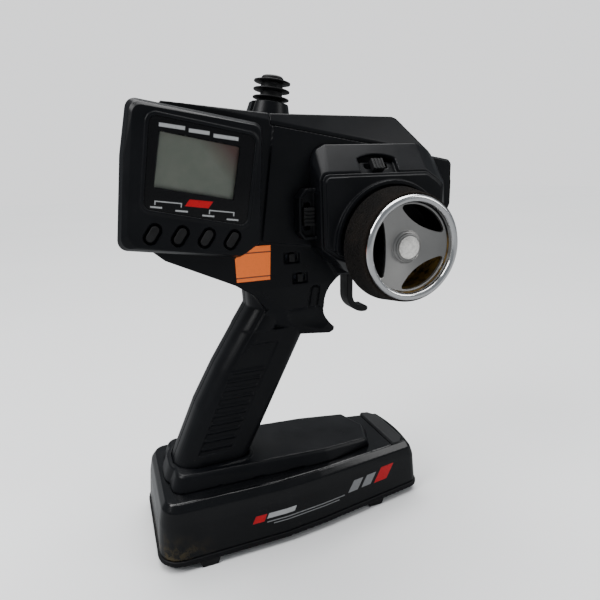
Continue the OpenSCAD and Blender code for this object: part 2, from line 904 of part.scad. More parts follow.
module steering_shaft() {
    color("#c3c6ca") y_cylinder(wheel_spot, shaft_radius, 0.7 - boss_front, -15);
}

module steering_pot() {
    color("#4d5560") difference() {
        union() {
            y_cylinder(wheel_spot, 9, -23.9, -14);
            side_extrude(-20, -16) translate(wheel_spot + [0, 8.9]) square([12, 5.4], center = true);
        }
        y_cylinder(wheel_spot, shaft_radius + running_gap, -far / 2, -14.5);
    }
}

module centering_cam() {
    color("#dfe1e3") difference() {
        union() {
            y_cylinder(wheel_spot, 6, -33.4, -30.6);
            side_extrude(-33.4, -30.6) translate(wheel_spot + [0, 7]) square([5, 14], center = true);
            y_cylinder(wheel_spot + [0, 13.5], 2.5, -33.4, -30.6);
        }
        y_cylinder(wheel_spot, shaft_radius, -far / 2, far / 2);
    }
}

// A round wire coil along Z, made of half rings that each climb half a pitch
module coil(r, wire, pitch, turns) {
    climb = asin(pitch / (4 * r));
    for (i = [0:2 * turns - 1]) let (way = i % 2 == 0 ? 1 : -1)
        translate([0, 0, i * pitch / 2]) rotate([0, way * climb, 0]) rotate(way > 0 ? 0 : 180)
            rotate_extrude(angle = 180) translate([r, 0]) circle(wire);
}

module centering_spring() {
    leg = 46;   // angle of each leg from the cam's arm
    color("#9aa0a6") {
        translate([wheel_spot[0], -27.7, wheel_spot[1]]) rotate([90, 0, 0]) coil(8, 0.5, 1.1, 2);
        for (side = [-1, 1]) translate([wheel_spot[0], -28.9, wheel_spot[1]])
            rotate([0, side * leg, 0]) translate([0, 0, 8]) cylinder(h = 9, r = 0.6);
    }
}

// ---------------------------------------------------------------- wheel

foam_front = -62;
foam_back = -42;
core_radius = 24.6;
core_back_opening = 12;
plate_back = 54;   // back of the dished, spoked plate, which lies deep inside the ring
boss_front = plate_back + 4.3;

module about_wheel_axis() {
    // Z runs out along the axle, away from the case
    translate([wheel_spot[0], 0, wheel_spot[1]]) rotate([90, 0, 0]) children();
}

module wheel_core() {
    color(shell_black) about_wheel_axis() difference() {
        union() {
            rotate(180 / spoke_count) {
                difference() {
                    translate([0, 0, -foam_back + 0.2]) cylinder(h = 17.6, r = core_radius);
                    translate([0, 0, 1.4 - foam_back]) cylinder(h = far, r = core_radius - 1.5);
                    cylinder(h = far, r = core_back_opening);
                }
                translate([0, 0, 44]) cylinder(h = plate_back - 44.1, r = 6);
            }
            for (i = [0:spoke_count - 1]) rotate(i * 360 / spoke_count)
                translate([4, -1.5, 49]) cube([core_radius - 4.8, 3, plate_back - 49.1]);
        }
        rotate(180 / spoke_count) cylinder(h = 100, r = shaft_radius);
    }
}

spoke_turn = 1;   // how far the wheel stands from a level spoke, in degrees
spoke_rim = core_radius - 1.6;
dish_depth = 3.6;      // how far the rim of the plate stands in front of its middle
opening_reach = 22;
opening_back = [53.7, 40.9];   // centre and radius of the shallow curve along each opening's back

module wheel_spokes() {
    color("#b4b6b9") about_wheel_axis() difference() {
        union() {
            rotate_extrude() translate([0, plate_back]) polygon([
                [0, 0], [8, 0], [spoke_rim, dish_depth], [spoke_rim, dish_depth + 2],
                [8, 2.2], [0, 2.2]
            ]);
            translate([0, 0, plate_back + 2.1]) cylinder(h = 1.2, r1 = 8.8, r2 = 7.9);
            translate([0, 0, plate_back + 3.2]) cylinder(h = 1.1, r1 = 7.5, r2 = 6.9);
        }
        cylinder(h = boss_front - 0.6, r = shaft_radius);
        for (i = [0:spoke_count - 1]) rotate(spoke_turn + (i + 0.5) * 360 / spoke_count)
            linear_extrude(far) offset(r = 1.3) offset(delta = -1.3) intersection() {
                circle(opening_reach, $fn = 96);
                translate([opening_back[0], 0]) circle(opening_back[1], $fn = 128);
            }
    }
}

ring_back = 60.1;

module wheel_ring() {
    tube = 1.9;
    ring_front = 64.2;
    color("#d9dbde") about_wheel_axis() rotate_extrude() {
        translate([ring_radius - tube, ring_front - tube]) circle(tube);
        translate([core_radius - 1.1, ring_back]) square([3.4, 2.6]);
    }
}

module wheel_foam() {
    outer = concat(
        [[core_radius + seat_gap, -foam_back]],
        arc([foam_back_radius - 4, -foam_back + 4], 4, -90, 0, 5),
        arc([foam_front_radius - 1, -foam_front - 1], 1, 20, 80, 3),
        [[ring_radius + seat_gap, -foam_front], [ring_radius + seat_gap, ring_back - seat_gap],
         [core_radius + seat_gap, ring_back - seat_gap]]
    );
    color(foam_black) about_wheel_axis() rotate_extrude() polygon(outer);
}

module hub_cap() {
    cap_radius = 5.9;
    color("#e6e4dd") about_wheel_axis() translate([0, 0, boss_front + thin]) {
        cylinder(h = 0.9, r = cap_radius);
        intersection() {
            translate([0, 0, -7.4]) sphere(10);
            cylinder(h = 4, r = cap_radius);
        }
    }
}

// ---------------------------------------------------------------- trigger

pivot = [50, 162.5];
pin_radius = 1.5;
hook_centre = [55.5, 136];

// A blade that hangs straight down from the pivot and curls forward at its tip
module trigger() {
    half = trigger_width / 2;
    inner = 7.8;
    outer = 11.6;
    middle = (inner + outer) / 2;
    tip_angle = 276;
    tip = hook_centre + middle * [cos(tip_angle), sin(tip_angle)];
    root = hook_centre + [-middle, 13];
    color(satin_black) difference() {
        union() {
            side_extrude(-half, half) polygon(concat(
                arc(hook_centre, inner, 180, tip_angle, 16),
                arc(hook_centre, outer, tip_angle, 180, 16),
                [[hook_centre[0] - outer, root[1]], [hook_centre[0] - inner, root[1]]]));
            y_cylinder(tip, (outer - inner) / 2, -half, half);
            side_extrude(-half, half) hull() {
                translate(root) circle((outer - inner) / 2);
                translate(pivot) circle(5.2);
            }
        }
        y_cylinder(pivot, pin_radius, -far / 2, far / 2);
    }
}

module trigger_pin() { color("#c3c6ca") y_cylinder(pivot, pin_radius, -10.4, 16); }

module trigger_bracket() {
    inner = 7.8;
    outer = 9.8;
    floor_z = head_underside + case_wall + thin;
    color("#8f949b") difference() {
        union() {
            for (side = [0, 1]) mirror([0, side, 0])
                translate([43, inner, floor_z]) cube([14, outer - inner, 14.6]);
            translate([43, -outer, floor_z + 13]) cube([14, 2 * outer, 1.6]);
        }
        y_cylinder(pivot, pin_radius + running_gap, -far / 2, far / 2);
    }
}

module trigger_spring() {
    color("#9aa0a6") translate([pivot[0], 7.34, pivot[1]]) rotate([90, 0, 0])
        coil(3.6, 0.3, 0.7, 2);
}

module throttle_pot() {
    color("#4d5560") difference() {
        union() {
            y_cylinder(pivot, 6, 10, 17);
            side_extrude(11, 15) translate(pivot + [7, 0]) square([6, 8], center = true);
        }
        y_cylinder(pivot, pin_radius + running_gap, 0, 16.5);
    }
}

// ---------------------------------------------------------------- switches and jack

module neck_knob(spot) {
    color(rubber_black) {
        side_extrude(-case_half_width - 0.2, 1.4 - case_half_width) translate(spot)
            square([3.2, 4.4], center = true);
        side_extrude(1.3 - case_half_width, -19.2) translate(spot) square([2.6, 2.8], center = true);
    }
}

module upper_switch() { neck_knob(upper_switch_spot); }
module lower_switch() { neck_knob(lower_switch_spot); }

module neck_switch_bodies() {
    color("#55585c") for (spot = [upper_switch_spot, lower_switch_spot])
        side_extrude(-19, -14) translate(spot) square([10, 5.6], center = true);
}

module power_switch() {
    color("#d8d8d2") {
        side_extrude(case_half_width - 0.9, case_half_width + 1.2) translate(power_switch_spot)
            square([6, 6.4], center = true);
        side_extrude(18.2, case_half_width - 0.8) translate(power_switch_spot)
            square([4, 4], center = true);
    }
}

module power_switch_body() {
    color("#55585c") side_extrude(12.4, 18) translate(power_switch_spot)
        square([22, 8], center = true);
}

module charge_jack() {
    color("#2a2b2e") difference() {
        union() {
            y_cylinder(jack_spot, 4, 12.4, case_half_width + 0.6);
            y_cylinder(jack_spot, 5.4, case_half_width + thin, case_half_width + 0.8);
        }
        y_cylinder(jack_spot, 2.75, 14, far / 2);
    }
}

// ---------------------------------------------------------------- electronics

board_y = 8;
board_posts = [[-45, 193], [-12, 193], [-45, 219], [-12, 219], [28, 196], [80, 196]];

module chip(spot, size, height) {
    side_extrude(board_y - height, board_y + thin) translate(spot) square(size, center = true);
}

module main_board() {
    color("#1f5a35") side_extrude(board_y, board_y + 1.6) translate([-28, 206])
        square([44, 36], center = true);
    color("#202124") {
        chip([-30, 208], [14, 14], 2.4);
        chip([-14, 200], [8, 5], 1.8);
        chip([-42, 216], [6, 5], 4);
    }
}

module rf_board() {
    color("#1f5a35") side_extrude(board_y, board_y + 1.6) translate([54, 203])
        square([60, 22], center = true);
    color("#9a9da1") {
        chip([40, 204], [16, 14], 5);
        chip([64, 206], [10, 10], 6);
    }
}

harness_points = [[-49, 33], [-33, 74], [-7.5, 113], [4, 148]];   // x and z of the wires' bends

module wire_harness() {
    wire = 1.3;
    color("#a02a24") for (y = [-1.6, 1.6]) {
        for (i = [0:2]) let (run = harness_points[i + 1] - harness_points[i])
            translate([harness_points[i][0], y, harness_points[i][1]])
                rotate([0, atan2(run[0], run[1]), 0]) cylinder(h = norm(run), r = wire);
        // Tape round each bend
        for (i = [1, 2]) translate([harness_points[i][0], y, harness_points[i][1]])
            sphere(wire + 0.2);
    }
}

// ---------------------------------------------------------------- assembly

placed() base_bottom();
placed() base_shell();
placed() battery_door();
placed() battery_tray();
placed() battery_cells();
placed() battery_contacts();
placed() rubber_feet();
placed() base_screws();
placed() deck_block();
placed() front_pad();
placed() case_right();
placed() case_left();
placed() top_cover();
placed() case_screws();
placed() display_pod();
placed() pod_back();
placed() display_lens();
placed() lcd_module();
placed() display_board();
placed() menu_button_1();
placed() menu_button_2();
placed() menu_button_3();
placed() menu_button_4();
placed() side_label();
placed() antenna_collar();
placed() antenna_boot();
placed() antenna_socket();
placed() wheel_housing();
placed() housing_plate();
placed() steering_trim();
placed() throttle_trim();
placed() steering_shaft();
placed() shaft_bushes();
placed() steering_bracket();
placed() steering_pot();
placed() centering_cam();
placed() centering_spring();
placed() wheel_core();
placed() wheel_spokes();
placed() wheel_ring();
placed() wheel_foam();
placed() hub_cap();
placed() trigger();
placed() trigger_pin();
placed() trigger_bracket();
placed() trigger_spring();
placed() throttle_pot();
placed() upper_switch();
placed() lower_switch();
placed() neck_switch_bodies();
placed() power_switch();
placed() power_switch_body();
placed() charge_jack();
placed() main_board();
placed() rf_board();
placed() wire_harness();
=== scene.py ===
"""Looks for the pistol-grip radio transmitter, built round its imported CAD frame.

Every length is in metres. The CAD nodes keep their meshes: modifiers round their edges the way a
mould does, and node materials finish them. Printed marks are part of the materials.
"""

import json
import math

import bpy
from mathutils import Matrix, Vector


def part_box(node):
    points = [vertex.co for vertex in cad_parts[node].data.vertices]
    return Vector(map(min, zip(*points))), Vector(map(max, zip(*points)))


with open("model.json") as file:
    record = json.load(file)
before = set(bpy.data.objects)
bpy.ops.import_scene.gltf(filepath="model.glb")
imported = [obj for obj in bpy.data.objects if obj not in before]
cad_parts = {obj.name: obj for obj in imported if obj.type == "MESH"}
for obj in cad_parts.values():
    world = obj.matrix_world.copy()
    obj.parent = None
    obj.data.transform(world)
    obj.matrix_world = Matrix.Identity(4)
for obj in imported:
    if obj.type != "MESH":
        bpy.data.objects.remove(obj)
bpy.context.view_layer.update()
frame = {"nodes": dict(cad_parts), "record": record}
NODES = frame["nodes"]
MM = 0.001
AHEAD = Vector((1, 0, 0))
RIGHT = Vector((0, -1, 0))
UP = Vector((0, 0, 1))

# The display end of the head is pitched nose down round this line
HEAD_PITCH = math.radians(8)
HEAD_ORIGIN = Vector((-8.6, 11.85, 170)) * MM
HEAD_U = Vector((math.cos(HEAD_PITCH), 0, -math.sin(HEAD_PITCH)))
HEAD_W = Vector((math.sin(HEAD_PITCH), 0, math.cos(HEAD_PITCH)))


# ---------------------------------------------------------------- node helpers

class Shader:
    """A node material with short calls for the nodes that the finishes here are made of."""

    def __init__(self, name):
        self.material = bpy.data.materials.new(name)
        self.material.use_nodes = True
        self.tree = self.material.node_tree
        self.surface = self.tree.nodes["Principled BSDF"]
        self.output = self.tree.nodes["Material Output"]
        self.place = self.add("ShaderNodeTexCoord").outputs["Object"]

    def add(self, kind, **settings):
        """Adds a node of this kind, with its own settings."""
        node = self.tree.nodes.new(kind)
        for key, value in settings.items():
            setattr(node, key, value)
        return node

    def set(self, socket, value):
        """Links value to the socket, or sets it when value is plain numbers."""
        if isinstance(value, bpy.types.NodeSocket):
            self.tree.links.new(value, socket)
        elif hasattr(socket.default_value, "__len__") and not hasattr(value, "__len__"):
            socket.default_value = [value] * len(socket.default_value)
        elif hasattr(value, "__len__") and len(value) == 3 and len(socket.default_value) == 4:
            socket.default_value = (*value, 1)
        else:
            socket.default_value = value

    def stretched(self, scale):
        """The place on the surface, scaled along each axis."""
        mapping = self.add("ShaderNodeMapping")
        self.set(mapping.inputs["Vector"], self.place)
        self.set(mapping.inputs["Scale"], scale)
        return mapping.outputs["Vector"]

    def noise(self, size, detail=3.0, roughness=0.55, where=None, seed=0.0):
        """Noise whose blobs are about this size in metres."""
        node = self.add("ShaderNodeTexNoise", noise_dimensions="4D")
        self.set(node.inputs["Vector"], where or self.place)
        self.set(node.inputs["W"], seed)
        self.set(node.inputs["Scale"], 1 / size)
        self.set(node.inputs["Detail"], detail)
        self.set(node.inputs["Roughness"], roughness)
        return node.outputs["Fac"]

    def cells(self, size):
        """Distance to the middle of cells of about this size in metres."""
        node = self.add("ShaderNodeTexVoronoi")
        self.set(node.inputs["Vector"], self.place)
        self.set(node.inputs["Scale"], 1 / size)
        return node.outputs["Distance"]

    def ramp(self, factor, low, high, from_value=0.0, to_value=1.0):
        """Maps low to high onto two values, and holds those values outside."""
        node = self.add("ShaderNodeMapRange")
        self.set(node.inputs["Value"], factor)
        self.set(node.inputs["From Min"], low)
        self.set(node.inputs["From Max"], high)
        self.set(node.inputs["To Min"], from_value)
        self.set(node.inputs["To Max"], to_value)
        return node.outputs["Result"]

    def math(self, operation, a, b=0.0):
        """One arithmetic step on two values."""
        node = self.add("ShaderNodeMath", operation=operation)
        self.set(node.inputs[0], a)
        self.set(node.inputs[1], b)
        return node.outputs["Value"]

    def along(self, direction, origin=Vector()):
        """How far a point of the surface lies along a direction, from the origin."""
        node = self.add("ShaderNodeVectorMath", operation="DOT_PRODUCT")
        self.set(node.inputs[0], self.place)
        self.set(node.inputs[1], direction)
        return self.math("SUBTRACT", node.outputs["Value"], origin.dot(direction))

    def mix(self, factor, a, b):
        """Colour a where the factor is 0, colour b where it is 1."""
        node = self.add("ShaderNodeMix", data_type="RGBA")
        self.set(node.inputs["Factor"], factor)
        self.set(node.inputs[6], a)
        self.set(node.inputs[7], b)
        return node.outputs[2]

    def bump(self, height, depth, strength=1.0, under=None):
        """A bump of this depth in metres, on top of another bump if one is given."""
        node = self.add("ShaderNodeBump")
        self.set(node.inputs["Height"], height)
        self.set(node.inputs["Distance"], depth)
        self.set(node.inputs["Strength"], strength)
        if under:
            self.set(node.inputs["Normal"], under)
        return node.outputs["Normal"]

    def finish(self, **inputs):
        """Sets the main shader's inputs by name, as in base_color for its Base Color."""
        for key, value in inputs.items():
            label = key.replace("_", " ").title().replace("Ior", "IOR")
            self.set(self.surface.inputs[label], value)
        return self.material


# ---------------------------------------------------------------- materials

RED_INK = (0.4, 0.003, 0.008)
PALE_INK = (0.33, 0.34, 0.345)
GREY_INK = (0.17, 0.175, 0.18)
DUST_COLOUR = (0.12, 0.115, 0.1)
DIRT_COLOUR = (0.075, 0.055, 0.022)
GREASE_COLOUR = (0.23, 0.14, 0.035)


def patch(s, ways, centre, half, edge=0.00015):
    """1 inside a four-sided area, 0 outside it, from two directions, its middle and half sizes."""
    masks = []
    for way, size in zip(ways, half):
        distance = s.math("ABSOLUTE", s.along(way, centre))
        masks.append(s.ramp(distance, size - edge, size + edge, 1, 0))
    return s.math("MULTIPLY", *masks)


def printed(s, colour, marks, origin, across, up):
    """Lays plain bars over a colour: place across and up, half sizes, lean and ink, in mm."""
    wear = s.ramp(s.noise(0.0011, 3, 0.7, seed=11), 0.62, 0.7, 0.95, 0.35)
    for place_across, place_up, half_across, half_up, lean, ink in marks:
        middle = origin + (across * place_across + up * place_up) * MM
        bar = patch(s, (across - up * lean, up), middle, (half_across * MM, half_up * MM))
        colour = s.mix(s.math("MULTIPLY", bar, wear), colour, ink)
    return colour


def moulded_plastic(name, colour, rough, grain=0.0004, grain_depth=0.00001, dust=0.25,
                    shine=0.18, paint=None):
    """Black moulded plastic: fine spark-eroded grain, finger smudges, dust and faint scratches."""
    s = Shader(name)
    smudges = s.noise(0.022, 4, 0.6)
    specks = s.ramp(s.noise(0.0011, 2, 0.7, seed=3), 0.66, 0.78)
    patches = s.ramp(s.noise(0.03, 3, 0.6, seed=5), 0.45, 0.7)
    film = s.math("MULTIPLY", s.math("MULTIPLY", specks, patches), dust)
    shade = s.mix(s.ramp(smudges, 0.35, 0.7, 0, 0.5), colour, [c * 1.6 + 0.001 for c in colour])
    if paint:
        shade = paint(s, shade)
    colour_out = s.mix(film, shade, DUST_COLOUR)
    scratch = s.noise(0.0016, 2, 0.5, s.stretched((1, 1, 9)), seed=8)
    grain_noise = s.noise(grain, 2, 0.6)
    normal = s.bump(grain_noise, grain_depth)
    normal = s.bump(s.ramp(scratch, 0.62, 0.7), 0.000004, 0.5, normal)
    normal = s.bump(s.noise(0.012, 1, 0.4, seed=2), 0.00006, 0.4, normal)
    return s.finish(
        base_color=colour_out,
        specular_ior_level=shine,
        roughness=s.ramp(smudges, 0.3, 0.75, rough, rough + 0.12),
        normal=normal,
    )


BASE_MARKS = [
    (-28, 19.6, 3.4, 2.1, 0.5, RED_INK), (-14.5, 20.2, 8.6, 1.5, 0.5, PALE_INK),
    (2, 16.6, 26, 0.32, 0, GREY_INK), (2, 14.9, 22, 0.28, 0, GREY_INK),
    (36.5, 20.4, 3.6, 3.4, 0.7, GREY_INK), (46.5, 20.6, 3.6, 3.4, 0.7, GREY_INK),
    (58.5, 21.2, 5, 4.4, 0.7, RED_INK),
]


def base_paint(s, colour):
    """Printed bars on the base's right side, and yellowish dirt along its lower rear end."""
    floor_point = Vector((HEAD_ORIGIN.x, 0, 0))
    bars = printed(s, colour, BASE_MARKS, floor_point, AHEAD, UP)
    right_side = s.ramp(s.along(RIGHT), 0.012, 0.014)
    marked = s.mix(right_side, colour, bars)
    low = s.ramp(s.along(UP), 0.007, 0.024, 1, 0)
    rear = s.ramp(s.along(-AHEAD), 0.06, 0.09)
    spots = s.ramp(s.noise(0.005, 5, 0.7, seed=12), 0.48, 0.62)
    dirt = s.math("MULTIPLY", s.math("MULTIPLY", low, rear), spots)
    return s.mix(s.math("MULTIPLY", dirt, 0.6), marked, DIRT_COLOUR)


def core_paint(s, colour):
    """Old yellow-brown grease on the inside of the wheel, below and in front of its axle."""
    low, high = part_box("wheel_ring")
    downhill = Vector((0.62, 0, -0.78))
    fall = s.along(downhill, (low + high) / 2)
    smear = s.ramp(s.noise(0.004, 4, 0.65, seed=13), 0.36, 0.56)
    grease = s.math("MULTIPLY", s.ramp(fall, 0.008, 0.016), smear)
    return s.mix(s.math("MULTIPLY", grease, 0.85), colour, GREASE_COLOUR)


def foam(name):
    """Open-cell foam: dark brown black, full of pores, with a dusty fuzz."""
    s = Shader(name)
    pores = s.noise(0.0008, 4, 0.75)
    cells = s.cells(0.0011)
    worn = s.ramp(s.noise(0.012, 3, 0.6, seed=4), 0.45, 0.75)
    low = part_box("wheel_foam")[0]
    front_edge = s.ramp(s.along(RIGHT, Vector((0, low.y, 0))), -0.005, -0.0005)
    base = s.mix(s.ramp(pores, 0.42, 0.64), (0.0006, 0.0005, 0.0005), (0.0072, 0.0056, 0.0045))
    rubbed = s.math("MAXIMUM", s.math("MULTIPLY", worn, 0.25), s.math("MULTIPLY", front_edge, 0.3))
    colour = s.mix(rubbed, base, (0.026, 0.0185, 0.0135))
    normal = s.bump(cells, 0.0007, 0.8, s.bump(pores, 0.0016, 1.0))
    return s.finish(base_color=colour, roughness=1.0, normal=normal, sheen_weight=0.03,
                    sheen_roughness=0.6, specular_ior_level=0.02)


def rubber(name, colour=(0.005, 0.005, 0.0055), rough=0.45):
    """Matt rubber with a faint grey bloom."""
    s = Shader(name)
    bloom = s.noise(0.006, 4, 0.65)
    shade = s.mix(s.ramp(bloom, 0.4, 0.75), colour, [c * 1.8 + 0.002 for c in colour])
    normal = s.bump(s.noise(0.0005, 2, 0.6), 0.00002)
    return s.finish(base_color=shade, specular_ior_level=0.3, normal=normal,
                    roughness=s.ramp(bloom, 0.3, 0.7, rough, rough + 0.2))


def bright_metal(name, colour, rough, brush=None, wear=0.1):
    """Plated or turned metal: smudges in its roughness, fine pits, and brush lines if asked."""
    s = Shader(name)
    haze = s.noise(0.009, 4, 0.6)
    pits = s.ramp(s.noise(0.0009, 3, 0.7, seed=6), 0.64, 0.76)
    shade = s.mix(s.math("MULTIPLY", pits, wear * 3), colour, [c * 0.35 for c in colour])
    normal = s.bump(pits, 0.00003, 0.4)
    if brush:
        lines = s.noise(0.0009, 3, 0.6, s.stretched(brush), seed=9)
        normal = s.bump(lines, 0.000012, 0.6, normal)
    return s.finish(base_color=shade, metallic=1.0, normal=normal,
                    roughness=s.ramp(haze, 0.3, 0.75, rough, rough + wear))


def worn_cap(name):
    """Off-white plastic with grey scuffs rubbed into it."""
    s = Shader(name)
    scuffs = s.ramp(s.noise(0.0016, 5, 0.7), 0.46, 0.64)
    colour = s.mix(s.math("MULTIPLY", scuffs, 0.55), (0.66, 0.65, 0.62), (0.27, 0.26, 0.25))
    return s.finish(base_color=colour, roughness=s.ramp(scuffs, 0, 1, 0.35, 0.6),
                    normal=s.bump(scuffs, 0.00004, 0.5))


WINDOW_CENTRE = (-55.2, 37.6)
WINDOW_HALF = (18.2 * MM, 12.2 * MM)
WINDOW_TURN = math.radians(-3.2)
WINDOW_IOR = 1.35
LENS_MARKS = [
    (-67.5, 53.4, 5.6, 0.8, 0, PALE_INK), (-55.6, 52.8, 4.6, 0.8, 0, PALE_INK),
    (-43.4, 52.1, 5.8, 0.8, 0, PALE_INK), (-53.6, 21.2, 5.4, 1.6, 0.6, RED_INK),
    (-67.4, 20.6, 6, 0.22, 0, PALE_INK), (-73.2, 19.8, 0.22, 0.9, 0, PALE_INK),
    (-61.6, 19.8, 0.22, 0.9, 0, PALE_INK), (-42.8, 18.7, 6, 0.22, 0, PALE_INK),
    (-48.6, 17.9, 0.22, 0.9, 0, PALE_INK), (-37, 17.9, 0.22, 0.9, 0, PALE_INK),
    (-72.6, 17.9, 2.6, 0.35, 0, PALE_INK), (-61.3, 17.2, 2.8, 0.35, 0, PALE_INK),
    (-49, 16.1, 2.8, 0.35, 0, PALE_INK), (-37.4, 15.3, 2.8, 0.35, 0, PALE_INK),
]


def head_point(u, w):
    """A point of the pod's flat, from its place along and up the pitched end of the head, in mm."""
    return HEAD_ORIGIN + (HEAD_U * u + HEAD_W * w) * MM


def inside_window(s):
    """1 inside the clear window over the liquid crystal, 0 outside it."""
    u_way = HEAD_U * math.cos(WINDOW_TURN) + HEAD_W * math.sin(WINDOW_TURN)
    w_way = HEAD_W * math.cos(WINDOW_TURN) - HEAD_U * math.sin(WINDOW_TURN)
    return patch(s, (u_way, w_way), head_point(*WINDOW_CENTRE), WINDOW_HALF, 0.0003)


def lens_glass(name):
    """A lens printed black behind, with pale and red marks and a clear window."""
    s = Shader(name)
    dust = s.ramp(s.noise(0.0008, 3, 0.75), 0.66, 0.8)
    smear = s.noise(0.015, 3, 0.6, seed=2)
    colour = s.mix(s.math("MULTIPLY", dust, 0.25), (0.0025, 0.0025, 0.003), (0.1, 0.1, 0.09))
    colour = printed(s, colour, LENS_MARKS, HEAD_ORIGIN, HEAD_U, HEAD_W)
    s.finish(base_color=colour, roughness=s.ramp(smear, 0.3, 0.8, 0.08, 0.22),
             specular_ior_level=0.3)
    clear = s.add("ShaderNodeBsdfTransparent")
    gloss = s.add("ShaderNodeBsdfGlossy")
    s.set(gloss.inputs["Roughness"], s.ramp(smear, 0.3, 0.8, 0.08, 0.22))
    facing = s.add("ShaderNodeFresnel")
    s.set(facing.inputs["IOR"], WINDOW_IOR)
    pane = s.add("ShaderNodeMixShader")
    s.set(pane.inputs[0], facing.outputs[0])
    s.tree.links.new(clear.outputs[0], pane.inputs[1])
    s.tree.links.new(gloss.outputs[0], pane.inputs[2])
    whole = s.add("ShaderNodeMixShader")
    s.set(whole.inputs[0], inside_window(s))
    s.tree.links.new(s.surface.outputs[0], whole.inputs[1])
    s.tree.links.new(pane.outputs[0], whole.inputs[2])
    s.tree.links.new(whole.outputs[0], s.output.inputs["Surface"])
    return s.material


def liquid_crystal(name):
    """The blank display: grey green, browner towards its upper front corner."""
    s = Shader(name)
    centre = head_point(*WINDOW_CENTRE)
    across = s.ramp(s.along(HEAD_U, centre), 0, WINDOW_HALF[0])
    up = s.ramp(s.along(HEAD_W, centre), -0.006, WINDOW_HALF[1])
    blot = s.noise(0.008, 3, 0.6)
    stain = s.math("MULTIPLY", s.ramp(s.math("ADD", across, up), 0.9, 1.7), 0.9)
    base = s.mix(s.ramp(blot, 0.3, 0.7), (0.17, 0.195, 0.158), (0.215, 0.235, 0.19))
    colour = s.mix(stain, base, (0.11, 0.045, 0.035))
    return s.finish(base_color=colour, roughness=0.35, normal=s.bump(blot, 0.00002, 0.3))


def printed_film(name, colour, rough=0.4):
    """Smooth film with slightly uneven ink."""
    s = Shader(name)
    ink = s.noise(0.0007, 3, 0.7)
    shade = s.mix(s.ramp(ink, 0.55, 0.8, 0, 0.35), colour, [c * 0.6 for c in colour])
    return s.finish(base_color=shade, roughness=s.ramp(ink, 0.3, 0.7, rough, rough + 0.15),
                    normal=s.bump(ink, 0.00001, 0.4))


def label_film(name):
    """Orange film with a thin dark keyline near its top and bottom edge."""
    s = Shader(name)
    low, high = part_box("side_label")
    height = s.along(UP)
    lines = 0.0
    for level in (low.z + 0.0022, high.z - 0.0034):
        gap = s.math("ABSOLUTE", s.math("SUBTRACT", height, level))
        lines = s.math("ADD", lines, s.ramp(gap, 0.00028, 0.00042, 1, 0))
    fibre = s.noise(0.0009, 4, 0.7)
    base = s.mix(s.ramp(fibre, 0.5, 0.8, 0, 0.5), (0.86, 0.15, 0.0), (0.6, 0.1, 0.0))
    colour = s.mix(s.math("MINIMUM", lines, 0.85), base, (0.02, 0.012, 0.01))
    return s.finish(base_color=colour, roughness=0.42, normal=s.bump(fibre, 0.00001, 0.4))


def circuit_board(name):
    """Green board with copper areas under its lacquer."""
    s = Shader(name)
    copper = s.ramp(s.noise(0.0022, 2, 0.4, s.stretched((1, 1, 3))), 0.5, 0.53)
    colour = s.mix(copper, (0.012, 0.085, 0.03), (0.03, 0.17, 0.06))
    return s.finish(base_color=colour, roughness=0.3, normal=s.bump(copper, 0.00003, 0.5))


def cell_wrap(name):
    """Shrink wrap of the cells: two blue greys with scuffs."""
    s = Shader(name)
    band = s.ramp(s.along(AHEAD), 0.0, 0.001)
    scuff = s.noise(0.003, 3, 0.6)
    colour = s.mix(band, (0.05, 0.08, 0.14), (0.08, 0.12, 0.18))
    return s.finish(base_color=colour, metallic=0.6,
                    roughness=s.ramp(scuff, 0.3, 0.7, 0.25, 0.4), normal=s.bump(scuff, 0.00003))


MATERIALS = {
    "base_gloss": moulded_plastic("gloss_abs", (0.0024, 0.0027, 0.0034), 0.13, 0.0006, 0.000003,
                                  0.5, 0.35, base_paint),
    "case_satin": moulded_plastic("satin_abs", (0.0032, 0.0036, 0.0046), 0.27, 0.00045, 0.00001),
    "bottom_plastic": moulded_plastic("bottom_abs", (0.004, 0.004, 0.005), 0.42, 0.0005, 0.00002),
    "pad_plastic": moulded_plastic("textured_abs", (0.014, 0.0145, 0.0155), 0.5, 0.0007, 0.0001,
                                   0.4),
    "wheel_plastic": moulded_plastic("nylon_black", (0.004, 0.004, 0.005), 0.4, paint=core_paint),
    "foam": foam("foam"),
    "soft_rubber": rubber("rubber_black"),
    "chrome_ring": bright_metal("chrome", (0.8, 0.805, 0.81), 0.1, wear=0.14),
    "satin_metal": bright_metal("satin_aluminium", (0.4, 0.395, 0.385), 0.4, (1, 6, 1), 0.16),
    "cap_plastic": worn_cap("worn_white"),
    "lens": lens_glass("lens"),
    "lcd": liquid_crystal("liquid_crystal"),
    "label": label_film("orange_film"),
    "screw_steel": bright_metal("zinc_steel", (0.42, 0.42, 0.44), 0.3),
    "bracket_metal": bright_metal("sheet_steel", (0.4, 0.41, 0.43), 0.35, (1, 1, 8)),
    "brass": bright_metal("brass", (0.62, 0.44, 0.16), 0.25),
    "nylon": printed_film("nylon_white", (0.6, 0.6, 0.57), 0.45),
    "part_casing": moulded_plastic("casing", (0.03, 0.035, 0.045), 0.45),
    "board_green": circuit_board("board"),
    "cell_wrap": cell_wrap("cell_wrap"),
    "wire_red": rubber("wire_red", (0.3, 0.02, 0.015), 0.4),
}


def finish_nodes():
    """Gives every CAD node the material of its slot in the record."""
    for entry in frame["record"]["subparts"]:
        node = NODES[entry["node"]]
        node.data.materials.clear()
        node.data.materials.append(MATERIALS[entry["material_slot"]])


# ---------------------------------------------------------------- moulded edges

WELD_GAP = 0.001 * MM


